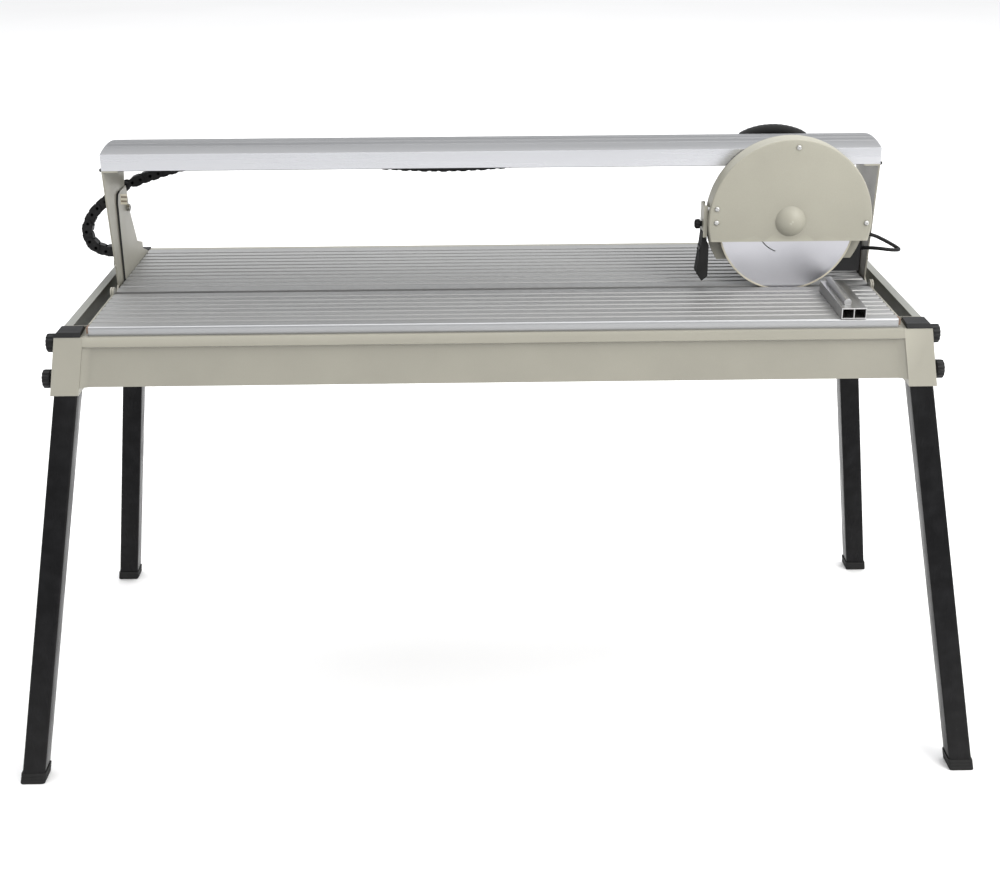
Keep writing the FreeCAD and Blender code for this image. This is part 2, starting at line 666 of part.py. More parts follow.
def build_switch():
    low, high = (87, GUARD_BACK + GUARD_SHEET, 866), (144.6, 70, 942)
    case = head_box(low, high).cut(head_box((90, 20, 869), (141.6, 66, 939)))
    case = case.cut(head_box((102, 65, 894), (122, 71, 914)))
    glands = [rod(5, vec(HEAD_X + 144.6, slot(33), 934), X, 8)]
    toward = (GLAND_LOW - vec(HEAD_X + 140, slot(33), 908)).normalize()
    glands.append(rod(5, GLAND_LOW - toward * 14, toward, 14))
    case = case.fuse([g.cut(head_box((90, 20, 869), (141.6, 66, 939))) for g in glands])
    save("switch_box", case.removeSplitter())
    save("switch_button", head_box((102.5, 64, 894.5), (121.5, 73, 913.5)))


CABLE_R = 3.4
GLAND_LOW = vec(695, slot(20), 909.5)
CABLE_ROUTE = [vec(698, slot(33), 934), vec(716, slot(34.5), 931), vec(741, slot(34), 919),
               vec(761, slot(19), 909), vec(758, slot(-6), 911), vec(738, slot(-20), 915),
               vec(714, slot(-14), 917), vec(701, slot(6), 913), vec(695, slot(20), 909.5)]


def cable_tube(points, radius):
    """Tube along straight runs joined by tangent arcs, as large as the runs allow."""
    edges = []
    last = points[0]
    radii = []
    for before, corner, after in zip(points[:-2], points[1:-1], points[2:]):
        into, out = (corner - before), (after - corner)
        reach = 0.45 * min(into.Length, out.Length)
        into.normalize()
        out.normalize()
        half_turn = into.getAngle(out) / 2
        start, end = corner - into * reach, corner + out * reach
        towards = (out - into).normalize()
        bend = reach / math.tan(half_turn)
        middle = corner + towards * (bend / math.cos(half_turn) - bend)
        edges += [Part.makeLine(last, start), Part.Arc(start, middle, end).toShape()]
        radii.append(round(bend, 1))
        last = end
    edges.append(Part.makeLine(last, points[-1]))
    path = Part.Wire(edges)
    first = points[1] - points[0]
    section = Part.Wire([Part.makeCircle(radius, points[0], first)])
    print("cable bend radii", radii, "length", round(path.Length, 1))
    tube_solid = path.makePipeShell([section], True, True)
    print("cable volume ratio", round(tube_solid.Volume / (math.pi * radius ** 2 * path.Length), 3))
    return tube_solid


def build_flap():
    ears = [box((388, slot(a), 941), (395.2, slot(b), 1000)) for a, b in ((-15.5, -12.5), (22.5, 25.5))]
    web = box((388, slot(-15.5), 951), (391.5, slot(25.5), 1000))
    bracket = web.fuse(ears)
    rim = disc(GUARD_R + 0.2, -30, 30, GUARD_Z)
    bracket = bracket.cut(rim)
    pin = rod(2.5, vec(391.6, slot(-15.5), 945), Y, 41)
    bracket = bracket.fuse(pin).removeSplitter()
    bracket = bracket.cut(rod(2.0 + FIT, vec(386, slot(5), 962), X, 8))
    save("flap_bracket", bracket)

    outline = [(387.5, 948), (395.5, 948), (396, 934), (400, 925), (400, 866), (389, 857), (379, 872),
               (386, 930)]
    flap = polygon([vec(x, slot(-12), z) for x, z in outline]).extrude(Y * 34)
    flap = flap.cut(rod(2.5 + FIT, vec(391.6, slot(-13), 945), Y, 36))
    save("splash_flap", flap)
    knob = fluted_knob(vec(384.5, slot(5), 962), X * -1, 9, 10, 8)
    save("flap_knob", knob.fuse(rod(2.0, vec(391.4, slot(5), 962), X * -1, 8)))


build_frame()
build_table()
build_angle_guide()
build_bridge()
build_spindle()
build_motor()
build_guard()
build_carriage()
build_switch()
save("motor_cable", cable_tube(CABLE_ROUTE, CABLE_R))
build_flap()
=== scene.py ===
import bpy
import bmesh
import json
import math
from mathutils import Matrix, Vector


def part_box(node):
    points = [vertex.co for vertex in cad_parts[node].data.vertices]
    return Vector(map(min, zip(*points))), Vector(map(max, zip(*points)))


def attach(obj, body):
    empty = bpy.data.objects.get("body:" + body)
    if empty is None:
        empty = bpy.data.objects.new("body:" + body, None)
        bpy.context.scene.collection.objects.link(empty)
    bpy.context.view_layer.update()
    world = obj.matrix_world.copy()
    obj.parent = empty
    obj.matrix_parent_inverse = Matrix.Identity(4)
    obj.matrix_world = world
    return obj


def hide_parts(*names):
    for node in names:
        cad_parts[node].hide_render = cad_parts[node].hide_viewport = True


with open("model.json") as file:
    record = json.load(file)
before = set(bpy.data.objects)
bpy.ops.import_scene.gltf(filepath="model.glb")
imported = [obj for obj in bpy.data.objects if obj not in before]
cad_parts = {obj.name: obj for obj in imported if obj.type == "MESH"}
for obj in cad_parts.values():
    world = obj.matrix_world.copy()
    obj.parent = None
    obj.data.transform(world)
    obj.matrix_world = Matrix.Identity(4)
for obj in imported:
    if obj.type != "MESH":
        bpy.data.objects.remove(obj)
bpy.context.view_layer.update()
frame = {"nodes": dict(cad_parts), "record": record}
NODES = frame["nodes"]
HINGES = {j["name"]: j for j in frame["record"]["behaviour"]["joints"]}
BODY_OF = {n: b for b, names in frame["record"]["behaviour"]["bodies"].items() for n in names}

MM = 0.001
Y_AXIS, NEG_X, NEG_Y = (0, 1, 0), (-1, 0, 0), (0, -1, 0)
SLOT_Y = HINGES["bridge_tilt"]["pos_m"][1]
TABLE_Z = HINGES["bridge_tilt"]["pos_m"][2]
HEAD_X, _, AXIS_Z = HINGES["blade_spin"]["pos_m"]
SLOT_MM, HEAD_MM, AXIS_MM = SLOT_Y / MM, HEAD_X / MM, AXIS_Z / MM


# ---------------------------------------------------------------- materials

def nodes_of(material):
    tree = material.node_tree
    return tree, tree.nodes["Principled BSDF"]


def new_material(name, color, roughness, metallic=0.0, **sockets):
    material = bpy.data.materials.new(name)
    material.use_nodes = True
    shader = nodes_of(material)[1]
    shader.inputs["Base Color"].default_value = (*color, 1)
    shader.inputs["Roughness"].default_value = roughness
    shader.inputs["Metallic"].default_value = metallic
    for socket, value in sockets.items():
        shader.inputs[socket.replace("_", " ")].default_value = value
    material.diffuse_color = (*color, 1)
    return material


def noise(tree, scale, detail=3.0, stretch=(1, 1, 1)):
    """Noise in the object's own coordinates, stretched along an axis by a small factor."""
    place = tree.nodes.new("ShaderNodeTexCoord")
    mapping = tree.nodes.new("ShaderNodeMapping")
    mapping.inputs["Scale"].default_value = stretch
    texture = tree.nodes.new("ShaderNodeTexNoise")
    texture.inputs["Scale"].default_value = scale
    texture.inputs["Detail"].default_value = detail
    tree.links.new(place.outputs["Object"], mapping.inputs["Vector"])
    tree.links.new(mapping.outputs["Vector"], texture.inputs["Vector"])
    return texture.outputs["Fac"]


def ramp(tree, value, stops):
    """Colour ramp; stops are (position, colour)."""
    node = tree.nodes.new("ShaderNodeValToRGB")
    elements = node.color_ramp.elements
    while len(elements) < len(stops):
        elements.new(0.5)
    for element, (position, color) in zip(elements, stops):
        element.position = position
        element.color = (*color, 1) if len(color) == 3 else color
    tree.links.new(value, node.inputs["Fac"])
    return node.outputs["Color"]


def span(tree, value, low, high, at=(0.3, 0.7)):
    """Maps a value between two limits to a range of numbers."""
    node = tree.nodes.new("ShaderNodeMapRange")
    for socket, number in zip(("From Min", "From Max", "To Min", "To Max"), (*at, low, high)):
        node.inputs[socket].default_value = number
    tree.links.new(value, node.inputs["Value"])
    return node.outputs["Result"]


def mixed(tree, fac, a, b, blend="MIX"):
    node = tree.nodes.new("ShaderNodeMix")
    node.data_type = "RGBA"
    node.blend_type = blend
    for socket, value in ((node.inputs[0], fac), (node.inputs[6], a), (node.inputs[7], b)):
        if isinstance(value, bpy.types.NodeSocket):
            tree.links.new(value, socket)
        elif isinstance(value, tuple):
            socket.default_value = (*value, 1)
        else:
            socket.default_value = value
    return node.outputs[2]


def bump(tree, shader, heights):
    """Chain of bumps; heights are (value, strength, distance in metres)."""
    normal = None
    for value, strength, distance in heights:
        node = tree.nodes.new("ShaderNodeBump")
        node.inputs["Strength"].default_value = strength
        node.inputs["Distance"].default_value = distance
        tree.links.new(value, node.inputs["Height"])
        if normal:
            tree.links.new(normal, node.inputs["Normal"])
        normal = node.outputs["Normal"]
    tree.links.new(normal, shader.inputs["Normal"])


def edge_mask(tree, low=0.52, high=0.62):
    geometry = tree.nodes.new("ShaderNodeNewGeometry")
    return span(tree, geometry.outputs["Pointiness"], 0.0, 1.0, (low, high))


def painted_crease_shade(tree, distance):
    """Mask that is 1 in tight corners, where painted shade darkens the colour."""
    occlusion = tree.nodes.new("ShaderNodeAmbientOcclusion")
    occlusion.samples = 6
    occlusion.inputs["Distance"].default_value = distance
    return span(tree, occlusion.outputs["AO"], 1.0, 0.0, (0.35, 0.95))


def shade(color, factor):
    return tuple(min(1.0, c * factor) for c in color)


def powder_coat(name, color, roughness=0.42):
    """Sprayed and baked coat: fine orange peel, cloudy tone, painted shade in creases and a painted
    highlight on the edges.
    """
    material = new_material(name, color, roughness)
    tree, shader = nodes_of(material)
    cloud = noise(tree, 9, 4)
    tone = ramp(tree, cloud, [(0.3, shade(color, 0.93)), (0.7, shade(color, 1.05))])
    speck = ramp(tree, noise(tree, 700, 2), [(0.45, shade(color, 0.9)), (0.6, color)])
    # Painted shade: tight corners darken to 0.55 of the colour; painted highlight: edges lighten to
    # 1.25 of it.
    base = mixed(tree, painted_crease_shade(tree, 0.022), mixed(tree, 0.25, tone, speck), shade(color, 0.55))
    tree.links.new(mixed(tree, edge_mask(tree), base, shade(color, 1.25)),
                   shader.inputs["Base Color"])
    tree.links.new(span(tree, cloud, roughness - 0.07, roughness + 0.08),
                   shader.inputs["Roughness"])
    bump(tree, shader, [(noise(tree, 480, 2), 0.12, 0.0004), (noise(tree, 60, 2), 0.05, 0.001)])
    return material


def gloss_paint(name, color):
    """Smooth enamel with faint runs, dust and a painted highlight on the corners."""
    roughness = 0.22
    painted_highlight_color = (0.04, 0.039, 0.038)
    material = new_material(name, color, roughness, Specular_IOR_Level=0.07)
    tree, shader = nodes_of(material)
    dust = noise(tree, 40, 6)
    tone = ramp(tree, dust, [(0.4, color), (0.75, shade(color, 1.8))])
    # Painted highlight: edges lightened from black towards dark grey.
    painted_edge_highlight = mixed(tree, edge_mask(tree, 0.55, 0.7), tone, painted_highlight_color)
    tree.links.new(painted_edge_highlight, shader.inputs["Base Color"])
    tree.links.new(span(tree, noise(tree, 18, 5, (3, 3, 0.4)), roughness - 0.06, roughness + 0.16),
                   shader.inputs["Roughness"])
    bump(tree, shader, [(noise(tree, 260, 2), 0.06, 0.0004)])
    return material


def extruded_metal(name, color, roughness, streak=(0.02, 1, 1), strength=0.25):
    """Aluminium with die lines that run the way it was drawn, and a cloudy anodised tone."""
    material = new_material(name, color, roughness, 1.0)
    tree, shader = nodes_of(material)
    lines = noise(tree, 900, 2, streak)
    broad = noise(tree, 90, 3, streak)
    cloud = noise(tree, 3.5, 4)
    tone = ramp(tree, broad, [(0.3, shade(color, 0.86)), (0.7, shade(color, 1.08))])
    base = mixed(tree, 0.35, tone, ramp(tree, cloud, [(0.3, shade(color, 0.88)), (0.7, color)]))
    # Painted highlight: edges lightened to 1.2 of the colour.
    tree.links.new(mixed(tree, edge_mask(tree), base, shade(color, 1.2)),
                   shader.inputs["Base Color"])
    tree.links.new(span(tree, broad, roughness - 0.06, roughness + 0.1), shader.inputs["Roughness"])
    bump(tree, shader, [(lines, strength, 0.0003)])
    return material


def ground_disc(name, color, roughness, centre):
    """Steel with fine grinding rings about an axis along Y."""
    material = new_material(name, color, roughness, 1.0)
    tree, shader = nodes_of(material)
    place = tree.nodes.new("ShaderNodeTexCoord")
    offset = tree.nodes.new("ShaderNodeVectorMath")
    offset.operation = "SUBTRACT"
    offset.inputs[1].default_value = centre
    tree.links.new(place.outputs["Object"], offset.inputs[0])
    flat = tree.nodes.new("ShaderNodeVectorMath")
    flat.operation = "MULTIPLY"
    flat.inputs[1].default_value = (1, 0, 1)
    tree.links.new(offset.outputs[0], flat.inputs[0])
    length = tree.nodes.new("ShaderNodeVectorMath")
    length.operation = "LENGTH"
    tree.links.new(flat.outputs[0], length.inputs[0])
    rings = tree.nodes.new("ShaderNodeTexNoise")
    rings.noise_dimensions = "1D"
    rings.inputs["Scale"].default_value = 1500
    rings.inputs["Detail"].default_value = 4
    tree.links.new(length.outputs["Value"], rings.inputs["W"])
    tone = ramp(tree, rings.outputs["Fac"], [(0.3, shade(color, 0.9)), (0.7, shade(color, 1.04))])
    haze = ramp(tree, noise(tree, 14, 4), [(0.35, shade(color, 0.93)), (0.65, color)])
    tree.links.new(mixed(tree, 0.4, tone, haze), shader.inputs["Base Color"])
    tree.links.new(span(tree, rings.outputs["Fac"], roughness - 0.06, roughness + 0.08),
                   shader.inputs["Roughness"])
    bump(tree, shader, [(rings.outputs["Fac"], 0.2, 0.0002)])
    return material


def moulded(name, color, roughness=0.5, grain=900, depth=0.25):
    """Moulded plastic or rubber: spark-eroded grain, dusty in places, edges painted lighter as a
    highlight.
    """
    material = new_material(name, color, roughness, Specular_IOR_Level=0.13)
    tree, shader = nodes_of(material)
    dust = noise(tree, 25, 6)
    tone = ramp(tree, dust, [(0.4, color), (0.8, tuple(c * 1.4 + 0.004 for c in color))])
    # Painted highlight: edges lightened as a sheen.
    painted_edge_highlight = mixed(tree, edge_mask(tree, 0.55, 0.7), tone, tuple(c * 1.6 + 0.012 for c in color))
    tree.links.new(painted_edge_highlight, shader.inputs["Base Color"])
    tree.links.new(span(tree, dust, roughness - 0.08, roughness + 0.12), shader.inputs["Roughness"])
    bump(tree, shader, [(noise(tree, grain, 2), depth, 0.0003)])
    return material


MATERIALS = {
    "frame_paint": powder_coat("beige_powder_coat", (0.262, 0.252, 0.210)),
    "table_aluminium": extruded_metal("ribbed_aluminium", (0.312, 0.312, 0.310), 0.54,
                                      strength=0.10),
    "leg_paint": gloss_paint("black_enamel", (0.006, 0.006, 0.0065)),
    "black_plastic": moulded("black_moulding", (0.013, 0.013, 0.0135), 0.42),
    "black_rubber": moulded("black_rubber", (0.014, 0.014, 0.014), 0.62, 500, 0.35),
    # Beige darkened to near black: painted shade inside the tray.
    "tray_plastic": moulded("tray_beige_painted_shade", (0.045, 0.042, 0.036), 0.55),
    "zinc_steel": extruded_metal("zinc_plated_steel", (0.52, 0.52, 0.51), 0.3, (1, 1, 1), 0.1),
    "motor_paint": powder_coat("charcoal_paint", (0.03, 0.03, 0.032), 0.45),
    "blade_steel": ground_disc("ground_steel", (0.65, 0.65, 0.69), 0.34,
                               (HEAD_X, SLOT_Y, AXIS_Z)),
    "button_plastic": moulded("red_button_plastic", (0.38, 0.02, 0.015), 0.35, 700, 0.1),
}
# One aluminium in two tones: a lighter copy as painted reflection on the rail's front face and the
# table's rear edge, a darker copy as painted shade on the rail's top.
POLISHED_PAINTED_REFLECTION = extruded_metal("polished_aluminium_painted_reflection", (0.50, 0.505, 0.525), 0.24, strength=0.12)
RAIL_TOP_PAINTED_SHADE = extruded_metal("rail_top_aluminium_painted_shade", (0.235, 0.237, 0.242), 0.42)
EDGE_METAL = extruded_metal("edge_aluminium", (0.33, 0.334, 0.34), 0.36, strength=0.12)
GUIDE = extruded_metal("guide_aluminium", (0.42, 0.42, 0.42), 0.34, (1, 0.02, 1), 0.15)
GUARD_PAINT = powder_coat("guard_powder_coat", (0.318, 0.307, 0.253))
DIAMOND = moulded("diamond_rim", (0.46, 0.43, 0.35), 0.6, 1600, 0.6)
# Darker, greyer copy of the frame beige: painted shade on the side rails.
SIDE_RAIL_PAINTED_SHADE = powder_coat("side_rail_coat_painted_shade", (0.215, 0.217, 0.198))
PLUG = moulded("brown_plug", (0.10, 0.066, 0.048), 0.6, 700, 0.1)
LABEL = moulded("scale_label", (0.36, 0.33, 0.25), 0.5, 600, 0.1)
LABEL_INK = moulded("scale_marks", (0.085, 0.06, 0.028), 0.5, 600, 0.1)
SLOT_OF = {s["node"]: s["material_slot"] for s in frame["record"]["subparts"]}


# ---------------------------------------------------------------- mesh helpers

def add_piece(name, bm, body, material, replaces=(), smooth_angle=35.0):
    """Turns a bmesh into a piece that rides on a body."""
    bmesh.ops.recalc_face_normals(bm, faces=bm.faces)
    mesh = bpy.data.meshes.new(name)
    bm.to_mesh(mesh)
    bm.free()
    piece = bpy.data.objects.new(name, mesh)
    bpy.context.scene.collection.objects.link(piece)
    materials = material if isinstance(material, list) else [material]
    for item in materials:
        mesh.materials.append(item)
    smooth(piece, smooth_angle)
    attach(piece, body)
    if replaces:
        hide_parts(*replaces)
    return piece


def smooth(piece, angle=35.0):
    mesh = piece.data
    mesh.polygons.foreach_set("use_smooth", [True] * len(mesh.polygons))
    mesh.set_sharp_from_angle(angle=math.radians(angle))


HUB = 0.01  # radius in mm that stands in for the axis of a lathe


def add_modifier(piece, kind, **settings):
    modifier = piece.modifiers.new(kind.lower(), kind)
    for key, value in settings.items():
        setattr(modifier, key, value)
    return modifier


def soften(node, width=0.6, segments=2, material=None):
    """Copy of a CAD node with its coplanar facets merged and its edges rounded; width in mm."""
    edge_angle = 28.0
    bm = bmesh.new()
    bm.from_mesh(NODES[node].data)
    bmesh.ops.remove_doubles(bm, verts=bm.verts, dist=1e-6)
    bmesh.ops.dissolve_limit(bm, angle_limit=math.radians(0.6), verts=bm.verts, edges=bm.edges)
    slot = SLOT_OF[node]
    piece = add_piece(node + "_skin", bm, BODY_OF[node], material or MATERIALS[slot],
                      (node,), edge_angle)
    add_modifier(piece, "BEVEL", width=width * MM, segments=segments, limit_method="ANGLE",
                 angle_limit=math.radians(edge_angle), use_clamp_overlap=True)
    add_modifier(piece, "WEIGHTED_NORMAL", keep_sharp=False)
    return piece


def ring_points(profile, centre, axis, steps):
    """Rings of a lathe: profile is (radius, distance along the axis); the axis is a unit vector."""
    axis = Vector(axis)
    side = axis.orthogonal().normalized()
    up = axis.cross(side)
    rings = []
    for radius, along in profile:
        ring = []
        for i in range(steps):
            a = 2 * math.pi * i / steps
            r = radius(a) if callable(radius) else radius
            ring.append(Vector(centre) + axis * along + (side * math.cos(a) + up * math.sin(a)) * r)
        rings.append(ring)
    return rings


def loft(bm, rings, looped=False):
    """Skins rings of equal length, in metres, and closes the ends unless the rings make a loop."""
    made = [[bm.verts.new(p) for p in ring] for ring in rings]
    pairs = list(zip(made[:-1], made[1:]))
    if looped:
        pairs.append((made[-1], made[0]))
    for a, b in pairs:
        n = len(a)
        for i in range(n):
            bm.faces.new((a[i], a[(i + 1) % n], b[(i + 1) % n], b[i]))
    if not looped:
        bm.faces.new(made[0])
        bm.faces.new(reversed(made[-1]))


def lathe(bm, profile, centre, axis, steps=48, looped=False):
    """Solid of revolution; profile is (radius, distance) in mm, the centre in metres."""
    mm_profile = [(r, a * MM) if callable(r) else (r * MM, a * MM) for r, a in profile]
    loft(bm, ring_points(mm_profile, centre, axis, steps), looped)


def fillet_profile(radius, height, round_low, round_high, steps=5):
    """Lathe profile of a disc with rounded rims, from its axis out and back."""
    angles = [math.pi / 2 * i / steps for i in range(steps + 1)]
    low = [(radius - round_low * (1 - math.sin(a)), round_low * (1 - math.cos(a))) for a in angles]
    high = [(radius - round_high * (1 - math.cos(a)), height - round_high * (1 - math.sin(a)))
            for a in angles]
    return [(HUB, 0.0)] + low + high + [(HUB, height)]


def box_into(bm, low, high, matrix=None):
    """Box between two corners in mm, optionally placed by a matrix in metres."""
    corners = [Vector((x * MM, y * MM, z * MM)) for x in (low[0], high[0])
               for y in (low[1], high[1]) for z in (low[2], high[2])]
    if matrix:
        corners = [matrix @ c for c in corners]
    v = [bm.verts.new(c) for c in corners]
    for face in ((0, 1, 3, 2), (4, 6, 7, 5), (0, 4, 5, 1),
                 (2, 3, 7, 6), (0, 2, 6, 4), (1, 5, 7, 3)):
        bm.faces.new([v[i] for i in face])


def bevel_all(bm, width, segments=2):
    """Rounds every sharp edge; width in mm."""
    sharp = math.radians(30.0)
    edges = [e for e in bm.edges if e.is_manifold and e.calc_face_angle(0) > sharp]
    bmesh.ops.bevel(bm, geom=edges, offset=width * MM, segments=segments, profile=0.5,
                    affect="EDGES", clamp_overlap=True)


def head_point(x, y, z):
    """Point from millimetres: X from the blade's centre line, Y from the slot, Z from the floor."""
    return Vector((HEAD_X + x * MM, SLOT_Y + y * MM, z * MM))


def pan_screw(bm, centre, axis, radius=4.5, height=2.8, washer=0.0):
    """Pan-head screw with a cross recess; the axis points out of the surface."""
    axis = Vector(axis).normalized()
    base = Vector(centre)
    if washer:
        lathe(bm, fillet_profile(washer, 1.0, 0.1, 0.3, 2), base, axis, 28)
        base = base + axis * 1.0 * MM
    head = [(radius, 0.0), (radius, height * 0.35), (radius * 0.93, height * 0.62),
            (radius * 0.75, height * 0.86), (radius * 0.5, height), (radius * 0.46, height),
            (lambda a: (0.14 + 0.26 * abs(math.cos(2 * a)) ** 6) * radius * MM, height),
            (lambda a: (0.10 + 0.22 * abs(math.cos(2 * a)) ** 6) * radius * MM, height * 0.55)]
    lathe(bm, head, base, axis, 32)


# ---------------------------------------------------------------- frame and legs

def corner_signs(name):
    return (1 if "right" in name else -1), (-1 if "front" in name else 1)


LEG_SIZE = 42.0
LEG_RADIUS = 4.0
FOOT_LEVELS = [(0, 43), (0.8, 45), (2.2, 46), (7, 46), (7.6, 44.8), (8.8, 44.8), (9.4, 46),
               (13, 46), (13.6, 44.8), (14.8, 44.8), (15.4, 46), (20, 46), (20.8, 45.2),
               (21, 43.4), (20.4, 42.2)]  # height and size in mm, outside and back to the tube


def leg_axis(corner):
    """Foot and top centres of a leg, in metres, read from its box."""
    low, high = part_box("leg_" + corner)
    sx, sy = corner_signs(corner)
    half = LEG_SIZE / 2 * MM
    foot = Vector((high[0] - half if sx > 0 else low[0] + half,
                   high[1] - half if sy > 0 else low[1] + half, low[2]))
    top = Vector((low[0] + half if sx > 0 else high[0] - half,
                  low[1] + half if sy > 0 else high[1] - half, high[2]))
    return foot, top


def round_rect(width, height, radius, steps):
    """Outline of a rectangle with round corners about its middle, in mm."""
    points = []
    for quarter, (sx, sy) in enumerate(((1, 1), (-1, 1), (-1, -1), (1, -1))):
        for i in range(steps + 1):
            a = math.pi / 2 * (quarter + i / steps)
            points.append((sx * (width / 2 - radius) + radius * math.cos(a),
                           sy * (height / 2 - radius) + radius * math.sin(a)))
    return points


def rounded_square(centre, size, radius):
    """Level ring of a square bar with round corners; the centre in metres, sizes in mm."""
    return [centre + Vector((x * MM, y * MM, 0)) for x, y in round_rect(size, size, radius, 5)]


def build_legs():
    feet = bmesh.new()
    for corner in ("front_left", "front_right", "rear_left", "rear_right"):
        foot, top = leg_axis(corner)
        run = (top - foot) / (top.z - foot.z)
        bm = bmesh.new()
        loft(bm, [rounded_square(centre, LEG_SIZE, LEG_RADIUS)
                  for centre in (foot, foot.lerp(top, 0.5), top)])
        add_piece("leg_tube_" + corner, bm, "base", MATERIALS["leg_paint"],
                  ("leg_" + corner,))
        ground = foot - run * foot.z
        loft(feet, [rounded_square(ground + run * (z * MM), size, 4.5) for z, size in FOOT_LEVELS])
    add_piece("rubber_foot_set", feet, "base", MATERIALS["black_rubber"],
              ("rubber_feet",), 50)


def build_knob(node, joint, start, radius, thick, flutes, stud):
    """Fluted hand knob about its joint's axis, with a domed ring, a sunk middle and a steel stud.

    start is where the knob begins, in mm from the joint's point along the axis.
    """
    depth = 1.7
    stud_start = start - 15

    def fluted(base):
        return lambda a: (base - depth * (0.5 + 0.5 * math.cos(flutes * a)) ** 1.5) * MM

    bm = bmesh.new()
    r, end = radius, start + thick
    profile = [(HUB, start - 3), (r * 0.55, start - 3), (r * 0.55, start), (fluted(r - 1.2), start),
               (fluted(r), start + 1.2), (fluted(r), end - 3), (fluted(r - 0.9), end - 1.2),
               (fluted(r - 2.8), end - 0.3), (r * 0.66, end), (r * 0.6, end - 0.3),
               (r * 0.56, end - 1.4), (r * 0.3, end - 1.8), (HUB, end - 1.8)]
    centre, axis = Vector(joint["pos_m"]), Vector(joint["axis"])
    lathe(bm, profile, centre, axis, flutes * 8)
    plastic_faces = len(bm.faces)
    lathe(bm, fillet_profile(stud, end - 1.2 - stud_start, 0.3, 0.6, 2),
          centre + axis * (stud_start * MM), axis, 24)
    bm.faces.ensure_lookup_table()
    for face in bm.faces[plastic_faces:]:
        face.material_index = 1
    add_piece(node + "_grip", bm, joint["child"],
              [MATERIALS["black_plastic"], MATERIALS["zinc_steel"]], (node,), 40)


def build_frame():
    for node, width, segments, material in (
            ("front_apron", 0.9, 3, None), ("rear_apron", 0.9, 3, None),
            ("corner_posts", 0.9, 3, None), ("side_rail_left", 0.9, 3, SIDE_RAIL_PAINTED_SHADE),
            ("side_rail_right", 0.9, 3, SIDE_RAIL_PAINTED_SHADE), ("corner_caps", 1.8, 3, None),
            ("water_tray", 1.0, 2, None), ("table_cross_bars", 0.5, 2, None),
            ("water_pump", 1.5, 2, None), ("drain_plug", 0.8, 2, None)):
        soften(node, width, segments, material)
    build_legs()
    for name, joint in HINGES.items():
        if name.startswith("leg_knob"):
            build_knob(joint["child"], joint, 5.0, 17.0, 15.0, 12, 3.95)
        if name.startswith("tilt_knob"):
            build_knob(joint["child"], joint, -0.9, 16.0, 13.0, 10, 4.0)


# ---------------------------------------------------------------- table

def paint_faces(piece, material, test):
    """Gives a second material to the faces that pass the test (centre, normal)."""
    piece.data.materials.append(material)
    index = len(piece.data.materials) - 1
    for polygon in piece.data.polygons:
        if test(polygon.center, polygon.normal):
            polygon.material_index = index


def build_table():
    front_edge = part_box("table_front")[0][1]
    rear_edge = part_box("table_rear")[1][1]
    front = soften("table_front", 0.25, 1)
    paint_faces(front, EDGE_METAL,
                lambda c, n: c.y < front_edge + 5 * MM and (n.y < -0.15 or n.z > 0.5))
    rear = soften("table_rear", 0.25, 1)
    paint_faces(rear, POLISHED_PAINTED_REFLECTION, lambda c, n: c.y > rear_edge - 5 * MM and n.y > 0.15)
    plugs = bmesh.new()
    for sign in (-1, 1):
        x_pair = sorted((sign * 707.6, sign * 711))
        box_into(plugs, (x_pair[0], -302, 831), (x_pair[1], -285, 841.6))
    bevel_all(plugs, 0.5)
    add_piece("lip_end_plugs", plugs, "base", PLUG)
    guide = soften("angle_guide", 0.4, 2, GUIDE)
    guide.name = "angle_guide_bar"


# ---------------------------------------------------------------- bridge

CHAIN_Y = 212.0
CHAIN_PITCH = 19.0
CHAIN_LOOP = [(-714, 1003), (-740, 985), (-762, 968), (-780, 953), (-794, 934), (-802, 911),
              (-797, 888), (-778, 872), (-755, 870), (-741, 870)]
CHAIN_RUN = [(-703, 1007), (-666, 1020), (-604, 1038), (-529, 1053), (-373, 1053), (-257, 1043),
             (-179, 1036), (-100, 1033), (-22, 1035), (47, 1040), (174, 1050), (480, 1049)]


def smooth_path(points):
    """Catmull-Rom curve through (x, z) points in mm, as vectors."""
    steps = 14
    ends = [points[0]] + points + [points[-1]]
    line = []
    for p0, p1, p2, p3 in zip(ends, ends[1:], ends[2:], ends[3:]):
        for i in range(steps):
            t = i / steps
            line.append(Vector([0.5 * (2 * b + (c - a) * t + (2 * a - 5 * b + 4 * c - d) * t * t
                                       + (3 * b - a - 3 * c + d) * t ** 3)
                                for a, b, c, d in zip(p0, p1, p2, p3)]))
    line.append(Vector(points[-1]))
    return line


def even_points(line, pitch):
    """Points a pitch apart along a polyline."""
    out, left = [line[0]], pitch
    for a, b in zip(line, line[1:]):
        length = (b - a).length
        while length >= left and length > 0:
            a = a.lerp(b, left / length)
            out.append(a)
            length = (b - a).length
            left = pitch
        left -= length
    return out


def capsule_plate(bm, matrix, half_length, half_height, y0, y1):
    """Side plate of a chain link with round ends, in mm in the link's own frame."""
    outline = []
    for side in (1, -1):
        for i in range(9):
            a = math.pi * (i / 8 - 0.5) + (0 if side > 0 else math.pi)
            outline.append((side * (half_length - half_height) + half_height * math.cos(a),
                            half_height * math.sin(a)))
    rings = []
    for y, inset in ((y0, 0.6), (y0 + 0.5, 0), (y1 - 0.5, 0), (y1, 0.6)):
        k = 1 - inset / half_height
        rings.append([matrix @ Vector((x * MM * (1 if inset == 0 else 0.97), y * MM, z * k * MM))
                      for x, z in outline])
    loft(bm, rings)


